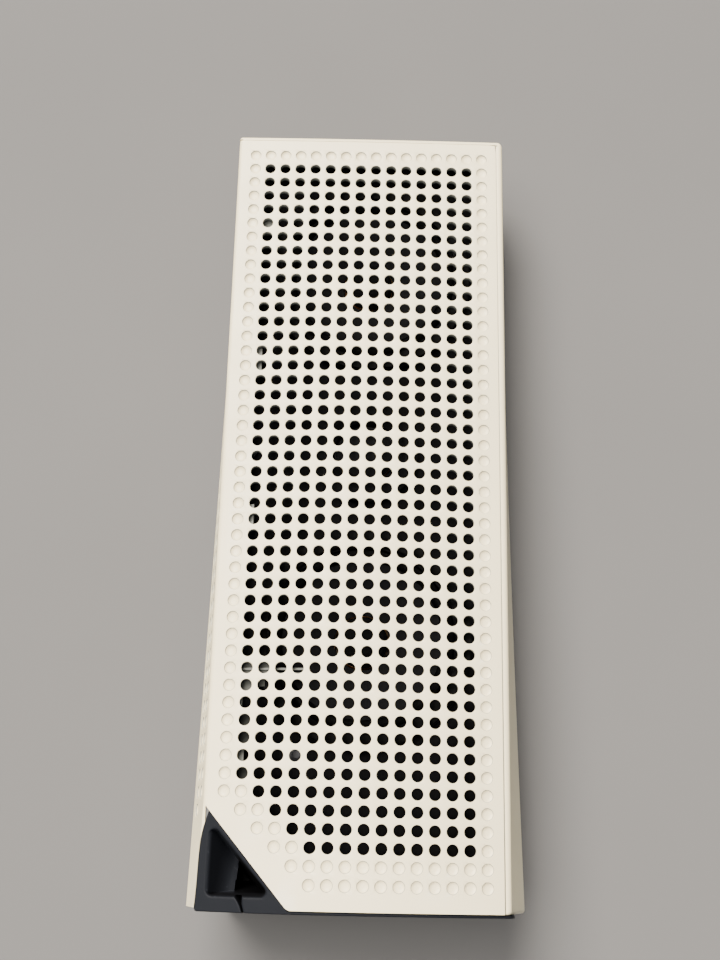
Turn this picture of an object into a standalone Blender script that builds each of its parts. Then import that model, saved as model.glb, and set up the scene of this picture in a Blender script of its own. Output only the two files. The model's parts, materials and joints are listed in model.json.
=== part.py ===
"""Small wedge monitor loudspeaker lying on its back, perforated face up.

Everything is drawn in the face frame: x to the right, y towards the thin far end, z out of the face.
One empty tilts that frame so that the flat base plate lies level on its four feet.
Lengths are in millimetres and are turned into metres when a mesh is made.
"""
import math

import bmesh
import bpy
from mathutils import Matrix, Vector

MM = 0.001
GAP = 0.3

# Driving sizes of the case
FAR_Y = 122.0
NEAR_Y = -121.8
FACE_CENTRE_X = 0.6
FACE_HALF = 44.0
CROWN_FAR = 0.4
CROWN_NEAR = 5.8
FAR_DEPTH = 32.0
NEAR_DEPTH = 50.0
SKIRT_FAR_Z = -12.4
SKIRT_NEAR_Z = -20.8
FACE_LEFT = -43.2
FACE_RIGHT = 44.5
COVER_RIGHT = 42.3
COVER_THICK = 2.0
SKIRT_THICK = 1.2
EDGE_RADIUS = 1.3
SHELL_THICK = 2.0
RIM_WIDTH = 1.1
WEB_THICK = 1.5
PANEL_FLANGE = 0.7
JOIN_INSET = 0.02
STEP = 0.4
PANEL_THICK = 3.0

# Slanted near left corner
CUT_LEFT = Vector((-43.5, -93.0, -5.3))
CUT_RIGHT = Vector((-18.0, -122.0, -1.4))
CUT_CORNER = Vector((-45.4, -122.4, -11.3))
POCKET_APEX = (-40.6, -99.6)
POCKET_LEFT = (-42.6, -118.7)
POCKET_RIGHT = (-22.4, -118.7)
POCKET_SLOPE = 4.5
POCKET_FLOOR_Z = -15.0
POCKET_DEEP_Z = -25.0
POCKET_STEP_X = -32.2
SLOT_X = -31.6
SLOT_WIDTH = 2.2

# Inner structure
BAFFLE_TOP = -9.0
BAFFLE_THICK = 2.5
TUB_LEFT = -40.2
TUB_RIGHT = 41.2
TUB_FAR = 119.4
TUB_NEAR = -119.4
TUB_CORNER_Y = -90.0
TUB_CORNER_X = -14.6
TUB_WALL = 2.5
BASE_THICK = 3.0
FOOT_HEIGHT = 2.0
FOOT_RADIUS = 6.5

# Drivers
WOOFER_X = 1.0
WOOFER_Y = (-45.0, 74.0)
WOOFER_FLANGE = 33.0
WOOFER_HOLE = 29.0
TWEETER_Y = 14.0
TWEETER_FLANGE = 16.5
TWEETER_HOLE = 12.6
FLANGE_TOP = -6.7

TILT = math.atan((NEAR_DEPTH - FAR_DEPTH) / (FAR_Y - NEAR_Y))

# Middle of the finished outline seen from above, moved to the origin
PLAN_MIDDLE_X = 0.65
PLAN_MIDDLE_Y = -2.253


def along(y):
    """0 at the far end, 1 at the near end."""
    return (FAR_Y - y) / (FAR_Y - NEAR_Y)


def crown(x, y):
    """Height of the face: flat at the far end, arched across at the near end."""
    sag = CROWN_FAR + (CROWN_NEAR - CROWN_FAR) * along(y)
    return -sag * ((x - FACE_CENTRE_X) / FACE_HALF) ** 2


def base_z(y):
    return -(FAR_DEPTH + (NEAR_DEPTH - FAR_DEPTH) * along(y))


def skirt_z(y):
    return SKIRT_FAR_Z + (SKIRT_NEAR_Z - SKIRT_FAR_Z) * along(y)


def skirt_left(y):
    t = along(y)
    return -(43.0 + 4.6 * t + 0.9 * t * t)


def skirt_right(y):
    t = along(y)
    return 44.6 + 2.8 * t + 2.4 * t * t


def facet_z(x, y):
    """Plane of the slanted corner."""
    normal = (CUT_RIGHT - CUT_LEFT).cross(CUT_CORNER - CUT_LEFT)
    run = (x - CUT_LEFT.x) * normal.x + (y - CUT_LEFT.y) * normal.y
    return CUT_LEFT.z - run / normal.z


# ---------------------------------------------------------------- materials

def make_material(name, colour, roughness, metallic=0.0):
    material = bpy.data.materials.new(name)
    material.use_nodes = True
    shader = material.node_tree.nodes["Principled BSDF"]
    shader.inputs["Base Color"].default_value = (*colour, 1.0)
    shader.inputs["Roughness"].default_value = roughness
    shader.inputs["Metallic"].default_value = metallic
    material.diffuse_color = (*colour, 1.0)
    return material


# ---------------------------------------------------------------- mesh helpers

def clear_scene():
    for old in list(bpy.data.objects):
        bpy.data.objects.remove(old, do_unlink=True)


def make_frame():
    """Empty that carries the face frame: tilted, and lifted so that the feet stand on z = 0."""
    frame = bpy.data.objects.new("face_frame", None)
    bpy.context.scene.collection.objects.link(frame)
    frame.rotation_euler = (-TILT, 0.0, 0.0)
    lift = FOOT_HEIGHT + GAP - base_z(0.0) * math.cos(TILT)
    frame.location = Vector((-PLAN_MIDDLE_X, -PLAN_MIDDLE_Y, lift)) * MM
    return frame


def finish(name, mesh_data, frame, material, origin=(0.0, 0.0, 0.0), smooth=False):
    """Make an object of a bmesh drawn in millimetres."""
    bmesh.ops.remove_doubles(mesh_data, verts=mesh_data.verts, dist=0.0001)
    bmesh.ops.recalc_face_normals(mesh_data, faces=mesh_data.faces)
    bmesh.ops.scale(mesh_data, vec=(MM, MM, MM), verts=mesh_data.verts)
    mesh = bpy.data.meshes.new(name)
    mesh_data.to_mesh(mesh)
    mesh_data.free()
    obj = bpy.data.objects.new(name, mesh)
    bpy.context.scene.collection.objects.link(obj)
    obj.parent = frame
    obj.location = Vector(origin) * MM
    if material:
        mesh.materials.append(material)
    if smooth:
        mesh.shade_smooth()
        mesh.set_sharp_from_angle(angle=math.radians(35.0))
    return obj


def loft(sections):
    """Closed body through outlines that have the same number of points."""
    mesh_data = bmesh.new()
    rings = []
    for section in sections:
        rings.append([mesh_data.verts.new(point) for point in section])
    count = len(rings[0])
    for first, second in zip(rings, rings[1:]):
        for i in range(count):
            j = (i + 1) % count
            mesh_data.faces.new((first[i], first[j], second[j], second[i]))
    mesh_data.faces.new(rings[0])
    mesh_data.faces.new(list(reversed(rings[-1])))
    return mesh_data


def turned(profile, segments=32):
    """Closed body of a closed (radius, z) outline turned about the local z axis."""
    mesh_data = bmesh.new()
    rings = []
    for radius, z in profile:
        if radius < 0.001:
            rings.append([mesh_data.verts.new((0.0, 0.0, z))] * segments)
            continue
        ring = []
        for i in range(segments):
            angle = 2.0 * math.pi * i / segments
            ring.append(mesh_data.verts.new((radius * math.cos(angle), radius * math.sin(angle), z)))
        rings.append(ring)
    for index, first in enumerate(rings):
        second = rings[(index + 1) % len(rings)]
        for i in range(segments):
            j = (i + 1) % segments
            corners = []
            for vert in (first[i], first[j], second[j], second[i]):
                if vert not in corners:
                    corners.append(vert)
            if len(corners) > 2:
                mesh_data.faces.new(corners)
    return mesh_data


def plan_prism(outline, top, bottom):
    """Body over a plan outline; top and bottom are heights or functions of x and y."""
    def height(rule, x, y):
        return rule(x, y) if callable(rule) else rule
    low = [(x, y, height(bottom, x, y)) for x, y in outline]
    high = [(x, y, height(top, x, y)) for x, y in outline]
    return loft([low, high])


def box(x0, x1, y0, y1, z0, z1):
    return plan_prism([(x0, y0), (x1, y0), (x1, y1), (x0, y1)], z1, z0)


def make_cutter(name, mesh_data, frame, origin=(0.0, 0.0, 0.0)):
    cutter = finish(name, mesh_data, frame, None, origin)
    cutter.hide_render = True
    cutter.display_type = 'WIRE'
    return cutter


def combine(target, tool, operation):
    modifier = target.modifiers.new(operation.lower(), 'BOOLEAN')
    modifier.operation = operation
    modifier.solver = 'EXACT'
    modifier.object = tool


def round_corners(outline, radii, steps=4):
    """Plan outline with its corners replaced by arcs."""
    rounded = []
    count = len(outline)
    for i, corner in enumerate(outline):
        point = Vector(corner)
        before = (Vector(outline[i - 1]) - point).normalized()
        after = (Vector(outline[(i + 1) % count]) - point).normalized()
        half = before.angle(after) / 2.0
        centre = point + (before + after).normalized() * (radii[i] / math.sin(half))
        start = point + before * (radii[i] / math.tan(half)) - centre
        end = point + after * (radii[i] / math.tan(half)) - centre
        sweep = start.angle_signed(end)
        for k in range(steps + 1):
            turn = Matrix.Rotation(-sweep * k / steps, 2)
            rounded.append(tuple(centre + turn @ start))
    return rounded


def stations(start, end, count):
    return [start + (end - start) * i / count for i in range(count + 1)]


# ---------------------------------------------------------------- white shells

def build_front_cover(frame, material):
    """Perforated face with its left wall. The perforations themselves are under 4 mm and stay closed here."""
    sections = []
    for y in stations(NEAR_Y, FAR_Y - RIM_WIDTH - GAP, 10):
        left = FACE_LEFT - 0.3 * along(y)
        flat_left = left + EDGE_RADIUS
        spans = stations(flat_left, COVER_RIGHT, 10)
        outer = [(skirt_left(y), y, skirt_z(y))]
        edge_z = crown(flat_left, y)
        for k in range(3):
            angle = math.radians(30.0 * k)
            outer.append((flat_left - EDGE_RADIUS * math.cos(angle), y,
                          edge_z - EDGE_RADIUS * (1.0 - math.sin(angle))))
        outer += [(x, y, crown(x, y)) for x in spans]
        inner = [(x, y, crown(x, y) - COVER_THICK) for x in reversed(spans)]
        inner.append((skirt_left(y) + SKIRT_THICK, y, skirt_z(y)))
        sections.append(outer + inner)
    cover = finish("front_cover", loft(sections), frame, material, smooth=True)

    step = (CUT_RIGHT - CUT_LEFT).normalized() * 12.0
    start = CUT_LEFT - step
    end = CUT_RIGHT + step
    wall_inner = FACE_LEFT + 0.6
    share = (wall_inner - start.x) / (end.x - start.x)
    inside = start.lerp(end, share)
    through = [(inside.x, inside.y), (end.x, end.y), (inside.x, end.y)]
    plate_cut = make_cutter("cut_plate", plan_prism(through, 5.0, -30.0), frame)
    slant = [(start.x, start.y), (end.x, end.y), (start.x - 10.0, end.y - 5.0)]
    wall_cut = make_cutter("cut_wall", plan_prism(slant, 5.0, facet_z), frame)
    combine(cover, plate_cut, 'DIFFERENCE')
    combine(cover, wall_cut, 'DIFFERENCE')
    return cover


def build_side_shell(frame, material):
    """Right wall with the strip beside the cover, joined to the far end wall and its rim."""
    strip_left = COVER_RIGHT + GAP

    def section(y, inner_low, inner_top):
        return [
            (strip_left, y, crown(strip_left, y)),
            (FACE_RIGHT - 0.5, y, crown(FACE_RIGHT, y)),
            (FACE_RIGHT, y, crown(FACE_RIGHT, y) - 0.5),
            (skirt_right(y), y, skirt_z(y)),
            (inner_low, y, skirt_z(y)),
            (inner_top, y, crown(strip_left, y) - SHELL_THICK - 2.0 * GAP),
            (strip_left, y, crown(strip_left, y) - SHELL_THICK - GAP),
        ]

    web_y = NEAR_Y + WEB_THICK
    web_x = TUB_RIGHT + 2.0 * GAP
    sections = [section(NEAR_Y, web_x, web_x), section(web_y, web_x, web_x)]
    for y in stations(web_y + 0.01, FAR_Y, 10):
        sections.append(section(y, skirt_right(y) - SHELL_THICK, strip_left))
    shell = finish("side_shell", loft(sections), frame, material, smooth=True)

    right = strip_left + 0.6
    low = SKIRT_FAR_Z + JOIN_INSET
    behind_left = FACE_LEFT + SKIRT_THICK + GAP
    behind_drop = COVER_THICK + GAP
    outlines = (
        (FAR_Y - JOIN_INSET, FACE_LEFT + 0.6, 0.6, low),
        (FAR_Y - 0.6, FACE_LEFT, JOIN_INSET, low),
        (FAR_Y - RIM_WIDTH, FACE_LEFT, JOIN_INSET, low),
        (FAR_Y - RIM_WIDTH, behind_left, behind_drop, low + STEP),
        (FAR_Y - SHELL_THICK, behind_left, behind_drop, low + STEP),
    )
    walls = []
    for y, left, drop, bottom in outlines:
        top = [(x, y, crown(x, y) - drop) for x in stations(left, right, 6)]
        walls.append(top + [(right, y, bottom), (left, y, bottom)])
    far_wall = make_cutter("join_far_wall", loft(walls), frame)
    combine(shell, far_wall, 'UNION')
    return shell


# ---------------------------------------------------------------- dark body

def build_end_cap(frame, material):
    """Near end wall and the slanted corner with its cable pocket, in one moulding."""
    flange_y = NEAR_Y - GAP
    outer_y = flange_y - PANEL_FLANGE
    inner_y = outer_y + PANEL_THICK
    floor = base_z(NEAR_Y)
    plug_left = TUB_LEFT + 4.0
    plug_drop = COVER_THICK + GAP
    shoulder = SKIRT_NEAR_Z - 0.5
    foot_left = TUB_LEFT - GAP
    foot_right = TUB_RIGHT + GAP
    outlines = (
        (outer_y, CUT_CORNER.x + 0.2, FACE_RIGHT - 0.3, foot_left + 0.2, foot_right - 0.2, 1.2, floor),
        (outer_y + 0.3, CUT_CORNER.x, FACE_RIGHT, foot_left, foot_right, 0.8, floor),
        (flange_y, CUT_CORNER.x, FACE_RIGHT, foot_left, foot_right, 0.8, floor),
        (flange_y, plug_left, TUB_RIGHT, plug_left, TUB_RIGHT, plug_drop, floor + STEP),
        (inner_y, plug_left, TUB_RIGHT, plug_left, TUB_RIGHT, plug_drop, floor + STEP),
    )
    sections = []
    for y, left, right, low_left, low_right, drop, bottom in outlines:
        top = [(x, y, crown(x, y) - drop) for x in stations(left, right, 8)]
        sections.append(top + [(right, y, shoulder), (low_right, y, shoulder - 1.0), (low_right, y, bottom),
                               (low_left, y, bottom), (low_left, y, shoulder - 1.0), (left, y, shoulder)])
    cap = finish("end_cap", loft(sections), frame, material, smooth=True)

    across = (CUT_RIGHT - CUT_LEFT).normalized()
    inward = Vector((-across.y, across.x, 0.0)).normalized()
    start = CUT_LEFT - inward * GAP
    end = CUT_RIGHT - inward * GAP

    def rest_z(x, y):
        return base_z(y) + BASE_THICK + GAP

    def clear_wall_x(y, z):
        """Just inside the cover's left wall at this height."""
        top_x = FACE_LEFT - 0.3 * along(y)
        share = (crown(top_x, y) - EDGE_RADIUS - z) / (crown(top_x, y) - EDGE_RADIUS - skirt_z(y))
        share = min(max(share, 0.0), 1.0)
        return top_x + (skirt_left(y) - top_x) * share + SKIRT_THICK + GAP

    levels = (0.0, -8.0, SKIRT_NEAR_Z, SKIRT_NEAR_Z - 0.2)
    rings = []
    for z in levels:
        near_x = clear_wall_x(flange_y, z) if z > SKIRT_NEAR_Z - 0.1 else TUB_LEFT
        top_y = start.y - 1.5
        far_x = clear_wall_x(top_y, z) if z > SKIRT_NEAR_Z - 0.1 else TUB_LEFT
        reach = (far_x - start.x) / (end.x - start.x)
        far_y = start.y + (end.y - start.y) * reach
        rings.append([(far_x, far_y, z), (end.x, end.y, z), (near_x, end.y, z)])
    rings.append([(x, y, rest_z(x, y)) for x, y, _ in rings[-1]])
    corner = make_cutter("join_corner", loft(rings), frame)

    inner = [start + inward * (GAP + 3.0), end + inward * (GAP + 3.0)]
    band = [(start.x + 3.0, start.y - 3.4), (end.x + 0.5, end.y + 1.0),
            (inner[1].x, inner[1].y + 1.0), (inner[0].x + 3.0, inner[0].y - 3.4)]
    rib = make_cutter("join_corner_rib", plan_prism(band, -8.3, rest_z), frame)
    combine(cap, corner, 'UNION')
    combine(cap, rib, 'UNION')

    run = across * 15.0
    over = [(start.x - run.x, start.y - run.y), (end.x + run.x, end.y + run.y),
            (start.x - run.x - 15.0, end.y + run.y)]
    slant = make_cutter("cut_slant", plan_prism(over, 8.0, lambda x, y: facet_z(x, y) - 0.1), frame)
    combine(cap, slant, 'DIFFERENCE')

    mouth = round_corners([POCKET_APEX, POCKET_LEFT, POCKET_RIGHT], (1.2, 3.2, 1.4))
    floor_left = (POCKET_LEFT[0] + POCKET_SLOPE, POCKET_LEFT[1] + 0.3)
    floor_apex = (POCKET_APEX[0] + POCKET_SLOPE - 1.0, POCKET_APEX[1] - POCKET_SLOPE)
    bed = round_corners([floor_apex, floor_left, (POCKET_RIGHT[0] - 0.3, POCKET_RIGHT[1] + 0.3)], (1.0, 2.4, 1.2))
    levels = ((5.0, mouth), (-7.0, mouth), (POCKET_FLOOR_Z, bed))
    scoop = loft([[(x, y, z) for x, y in outline] for z, outline in levels])
    shallow = make_cutter("cut_pocket", scoop, frame)
    combine(cap, shallow, 'DIFFERENCE')
    slope = (POCKET_RIGHT[1] - POCKET_APEX[1]) / (POCKET_RIGHT[0] - POCKET_APEX[0])
    step_y = POCKET_APEX[1] + slope * (POCKET_STEP_X - POCKET_APEX[0]) - 1.4
    deep_outline = [(POCKET_STEP_X, step_y), (POCKET_STEP_X, POCKET_LEFT[1] + 0.4),
                    (POCKET_RIGHT[0] - 2.6, POCKET_LEFT[1] + 0.4)]
    deep = make_cutter("cut_pocket_deep", plan_prism(deep_outline, -14.0, POCKET_DEEP_Z), frame)
    combine(cap, deep, 'DIFFERENCE')
    slot = make_cutter("cut_slot", box(SLOT_X - SLOT_WIDTH / 2.0, SLOT_X + SLOT_WIDTH / 2.0,
                                       outer_y - 2.0, POCKET_LEFT[1] + 1.0, -17.0, 5.0), frame)
    combine(cap, slot, 'DIFFERENCE')
    return cap


def tub_outline(inset):
    """Plan of the acoustic chamber; its near left corner is cut off beside the cable pocket."""
    slant = inset * 0.42
    return [
        (TUB_LEFT + inset, TUB_CORNER_Y + slant),
        (TUB_CORNER_X + slant, TUB_NEAR + inset),
        (TUB_RIGHT - inset, TUB_NEAR + inset),
        (TUB_RIGHT - inset, TUB_FAR - inset),
        (TUB_LEFT + inset, TUB_FAR - inset),
    ]


def build_baffle(frame, material):
    outline = tub_outline(0.0)
    baffle = finish("baffle", plan_prism(outline, BAFFLE_TOP, BAFFLE_TOP - BAFFLE_THICK), frame, material)
    centres = [(WOOFER_X, y, WOOFER_HOLE) for y in WOOFER_Y] + [(WOOFER_X, TWEETER_Y, TWEETER_HOLE)]
    for index, (x, y, radius) in enumerate(centres):
        hole = turned([(0.0, -5.0), (radius, -5.0), (radius, -20.0), (0.0, -20.0)])
        combine(baffle, make_cutter(f"cut_driver_{index + 1}", hole, frame, (x, y, 0.0)), 'DIFFERENCE')
    return baffle


def build_rear_tub(frame, material):
    top = BAFFLE_TOP - BAFFLE_THICK - GAP
    outer = plan_prism(tub_outline(0.0), top, lambda x, y: base_z(y) + BASE_THICK + GAP)
    tub = finish("rear_tub", outer, frame, material)
    hollow = plan_prism(tub_outline(TUB_WALL), 0.0, -70.0)
    combine(tub, make_cutter("cut_tub", hollow, frame), 'DIFFERENCE')
    return tub


def build_base_plate(frame, material):
    outline = [(TUB_LEFT, TUB_NEAR), (TUB_RIGHT, TUB_NEAR), (TUB_RIGHT, TUB_FAR), (TUB_LEFT, TUB_FAR)]
    plate = plan_prism(outline, lambda x, y: base_z(y) + BASE_THICK, lambda x, y: base_z(y))
    return finish("base_plate", plate, frame, material)


# ---------------------------------------------------------------- drivers

def build_woofer(index, centre_y, frame, materials):
    prefix = f"woofer_{index}"
    at = (WOOFER_X, centre_y, 0.0)

    def part(suffix, profile, slot, segments=32):
        return finish(f"{prefix}_{suffix}", turned(profile, segments), frame, materials[slot], at, smooth=True)

    flange_low = BAFFLE_TOP + GAP
    part("basket", [
        (WOOFER_FLANGE, FLANGE_TOP), (27.9, FLANGE_TOP), (27.9, flange_low - 1.0), (21.0, -18.4),
        (12.0, -18.4), (12.0, -20.0), (21.6, -20.0), (28.6, flange_low - 2.6), (28.6, flange_low),
        (WOOFER_FLANGE, flange_low)], "basket")
    roll = [(24.3 + 1.6 - 1.6 * math.cos(math.pi * k / 6), -7.9 + 1.6 * math.sin(math.pi * k / 6)) for k in range(7)]
    under = [(r, z - 0.4) for r, z in reversed(roll)]
    part("surround", roll + under, "rubber", 28)
    part("gasket", [(WOOFER_FLANGE - 0.4, FLANGE_TOP + 1.1), (28.8, FLANGE_TOP + 1.1),
                    (28.8, FLANGE_TOP + 0.1), (WOOFER_FLANGE - 0.4, FLANGE_TOP + 0.1)], "rubber", 28)
    part("cone", [(24.0, -7.9), (17.0, -10.6), (8.4, -14.6), (8.4, -15.2), (17.0, -11.3), (24.0, -8.6)], "paper")
    cap = [(7.9 * math.cos(math.radians(a)), -13.8 + 3.4 * math.sin(math.radians(a))) for a in (0, 30, 60, 90)]
    part("dust_cap", cap + [(0.0, -14.3), (7.9, -14.3)], "rubber", 24)
    part("voice_coil", [(7.9, -14.6), (7.9, -23.6), (7.3, -23.6), (7.3, -14.6)], "copper", 24)
    spider = [(8.3 + 1.9 * k, -16.7 + (0.5 if k % 2 else -0.1)) for k in range(6)]
    part("spider", spider + [(r, z - 0.5) for r, z in reversed(spider)], "cloth", 24)
    part("top_plate", [(14.0, -20.3), (8.4, -20.3), (8.4, -22.3), (14.0, -22.3)], "steel", 24)
    part("magnet", [(17.0, -22.6), (9.6, -22.6), (9.6, -27.0), (17.0, -27.0)], "ferrite", 24)
    part("yoke", [(0.0, -19.4), (6.8, -19.4), (6.8, -27.3), (15.6, -27.3), (15.6, -29.0), (0.0, -29.0)],
         "steel", 24)


def build_tweeter(frame, materials):
    at = (WOOFER_X, TWEETER_Y, 0.0)

    def part(suffix, profile, slot):
        return finish(f"tweeter_{suffix}", turned(profile, 24), frame, materials[slot], at, smooth=True)

    flange_low = BAFFLE_TOP + GAP
    part("plate", [
        (TWEETER_FLANGE, FLANGE_TOP), (12.6, FLANGE_TOP), (10.0, FLANGE_TOP - 1.2), (10.0, -12.4),
        (12.2, -12.4), (12.2, flange_low), (TWEETER_FLANGE, flange_low)], "plastic_dark")
    dome = [(9.0 * math.cos(math.radians(a)), -9.2 + 2.9 * math.sin(math.radians(a))) for a in (0, 25, 50, 70, 90)]
    inner = [(8.6 * math.cos(math.radians(a)), -9.6 + 2.9 * math.sin(math.radians(a))) for a in (90, 70, 50, 25, 0)]
    part("dome", dome + inner, "silk")
    part("coil", [(8.8, -9.9), (8.8, -13.6), (8.2, -13.6), (8.2, -9.9)], "copper")
    part("magnet", [(0.0, -13.0), (7.6, -13.0), (7.6, -15.0), (9.4, -15.0), (9.4, -12.8), (12.0, -12.8),
                    (12.0, -20.5), (0.0, -20.5)], "ferrite")


# ---------------------------------------------------------------- electronics

def floor_at(y):
    """Upper face of the base plate."""
    return base_z(y) + BASE_THICK


def build_electronics(frame, materials):
    board_z = floor_at(42.0) + 0.6
    board = box(-26.0, 26.0, -14.0, 42.0, board_z, board_z + 1.6)
    finish("crossover_board", board, frame, materials["board"])
    top = board_z + 1.6 + GAP

    def lying_can(name, x, y, radius, length, slot):
        can = turned([(0.0, 0.0), (radius, 0.0), (radius, length), (0.0, length)], 20)
        bmesh.ops.rotate(can, verts=can.verts, matrix=Matrix.Rotation(math.pi / 2.0, 3, 'Y'))
        finish(name, can, frame, materials[slot], (x, y, top + radius), smooth=True)

    lying_can("crossover_capacitor_1", -20.0, -6.0, 4.0, 17.0, "can")
    lying_can("crossover_capacitor_2", -20.0, 34.0, 4.0, 17.0, "can")
    lying_can("crossover_resistor", 4.0, 35.0, 2.4, 14.0, "ceramic")
    choke = turned([(8.5, 0.0), (8.5, 7.0), (3.5, 7.0), (3.5, 0.0)], 24)
    finish("crossover_choke", choke, frame, materials["copper"], (14.0, 2.0, top), smooth=True)

    amp_z = floor_at(-86.0) + 0.6
    finish("amplifier_board", box(0.0, 36.0, -112.0, -86.0, amp_z, amp_z + 1.6), frame, materials["board"])
    amp_top = amp_z + 1.6 + GAP
    fins = [(4.0, 0.0)]
    for k in range(5):
        left = 4.0 + 4.0 * k
        fins += [(left, 9.0), (left + 1.4, 9.0)]
        if k < 4:
            fins += [(left + 1.4, 2.0), (left + 4.0, 2.0)]
    fins.append((21.4, 0.0))
    sink = loft([[(x, y, amp_top + z) for x, z in fins] for y in (-108.0, -92.0)])
    finish("heat_sink", sink, frame, materials["aluminium"])
    can = turned([(0.0, 0.0), (4.0, 0.0), (4.0, 11.0), (0.0, 11.0)], 20)
    finish("amplifier_capacitor", can, frame, materials["can"], (30.0, -100.0, amp_top), smooth=True)


def build_jack(frame, materials):
    """Round power jack behind the slanted wall of the pocket, opening towards the pocket's corner."""
    across = (CUT_RIGHT - CUT_LEFT).normalized()
    inward = Vector((-across.y, across.x, 0.0)).normalized()
    seat = Vector((-27.6, -110.4, -19.4)) + inward * 3.9
    turn = inward.to_track_quat('Z', 'Y').to_matrix()

    def part(name, profile, slot, segments):
        body = turned(profile, segments)
        bmesh.ops.rotate(body, verts=body.verts, matrix=turn)
        return finish(name, body, frame, materials[slot], tuple(seat), smooth=True)

    part("power_jack", [(4.0, 0.0), (4.0, 10.0), (0.0, 10.0), (0.0, 8.0), (2.9, 8.0), (2.9, 0.0)],
         "plastic_dark", 24)
    part("jack_pin", [(0.0, 1.0), (1.0, 1.0), (1.0, 7.7), (0.0, 7.7)], "steel", 12)
    opening = turned([(0.0, -9.0), (4.3, -9.0), (4.3, 5.0), (0.0, 5.0)], 24)
    bmesh.ops.rotate(opening, verts=opening.verts, matrix=turn)
    return make_cutter("cut_jack", opening, frame, tuple(seat))


# ---------------------------------------------------------------- fasteners, feet, pad

def build_fasteners(frame, materials):
    shallow_head = [(1.2, 0.9), (2.6, 0.5), (2.6, -0.5), (0.0, -0.5), (0.0, 0.3), (1.2, 0.3)]
    spots = ((-17.5, -79.0), (36.5, -113.0), (-35.5, 114.5), (36.5, 114.5), (-35.5, 14.0), (36.5, 14.0))
    for index, (x, y) in enumerate(spots):
        screw = turned(shallow_head, 16)
        finish(f"baffle_screw_{index + 1}", screw, frame, materials["steel"],
               (x, y, BAFFLE_TOP + 0.5 + GAP), smooth=True)

    for index, (x, y) in enumerate(((-32.0, 108.0), (33.0, 108.0), (-32.0, -106.0), (33.0, -106.0))):
        under = base_z(y) - GAP
        foot = turned([(0.0, 0.0), (FOOT_RADIUS, 0.0), (FOOT_RADIUS, -1.4), (FOOT_RADIUS - 0.6, -FOOT_HEIGHT),
                       (0.0, -FOOT_HEIGHT)], 24)
        tilt_back = Matrix.Rotation(TILT, 3, 'X')
        bmesh.ops.rotate(foot, verts=foot.verts, matrix=tilt_back)
        finish(f"foot_{index + 1}", foot, frame, materials["rubber"], (x, y, under), smooth=True)
        screw = turned([(0.0, 0.0), (2.8, 0.0), (2.8, -0.8), (1.3, -1.1), (1.3, -0.5), (0.0, -0.5)], 16)
        bmesh.ops.rotate(screw, verts=screw.verts, matrix=tilt_back)
        inward_y = y - math.copysign(14.0, y)
        finish(f"base_screw_{index + 1}", screw, frame, materials["steel"],
               (x, inward_y, base_z(inward_y) - GAP), smooth=True)


def build_pad(frame, material):
    pad = plan_prism([(-34.0, 115.0), (34.0, 115.0), (34.0, 94.0), (-34.0, 94.0)],
                     lambda x, y: floor_at(y) + 5.0, lambda x, y: floor_at(y) + GAP)
    finish("damping_pad", pad, frame, material)


def main():
    clear_scene()
    frame = make_frame()
    white = make_material("shell_white", (0.80, 0.76, 0.68), 0.45)
    dark = make_material("body_grey", (0.047, 0.05, 0.056), 0.55)
    materials = {
        "steel": make_material("steel", (0.45, 0.45, 0.46), 0.35, 1.0),
        "basket": make_material("basket_black", (0.02, 0.02, 0.022), 0.6),
        "silk": make_material("dome_silk", (0.02, 0.02, 0.022), 0.85),
        "rubber": make_material("rubber", (0.02, 0.02, 0.02), 0.75),
        "paper": make_material("cone_paper", (0.03, 0.03, 0.032), 0.8),
        "cloth": make_material("spider_cloth", (0.30, 0.17, 0.06), 0.9),
        "copper": make_material("copper", (0.72, 0.34, 0.16), 0.35, 1.0),
        "ferrite": make_material("ferrite", (0.05, 0.05, 0.055), 0.6),
        "plastic_dark": make_material("black_plastic", (0.02, 0.02, 0.022), 0.5),
        "board": make_material("board_green", (0.03, 0.16, 0.07), 0.5),
        "can": make_material("can_sleeve", (0.02, 0.03, 0.09), 0.4),
        "ceramic": make_material("ceramic_white", (0.75, 0.74, 0.70), 0.6),
        "aluminium": make_material("aluminium", (0.72, 0.73, 0.74), 0.35, 1.0),
    }
    build_front_cover(frame, white)
    build_side_shell(frame, white)
    cap = build_end_cap(frame, dark)
    build_baffle(frame, materials["plastic_dark"])
    tub = build_rear_tub(frame, dark)
    build_base_plate(frame, dark)
    for index, y in enumerate(WOOFER_Y):
        build_woofer(index + 1, y, frame, materials)
    build_tweeter(frame, materials)
    build_electronics(frame, materials)
    jack_opening = build_jack(frame, materials)
    combine(cap, jack_opening, 'DIFFERENCE')
    combine(tub, jack_opening, 'DIFFERENCE')
    build_fasteners(frame, materials)
    build_pad(frame, make_material("felt", (0.25, 0.25, 0.26), 0.95))
    bpy.context.view_layer.update()


main()
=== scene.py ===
"""Looks of a small wedge monitor loudspeaker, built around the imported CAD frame.

Pieces are drawn in the face frame, in millimetres: x to the right, y towards the thin far end, z out of the
perforated face. TO_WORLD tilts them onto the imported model, so the sizes below are the ones the CAD uses.
"""
import json
import math

import bmesh
import bpy
from mathutils import Matrix, Vector


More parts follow.
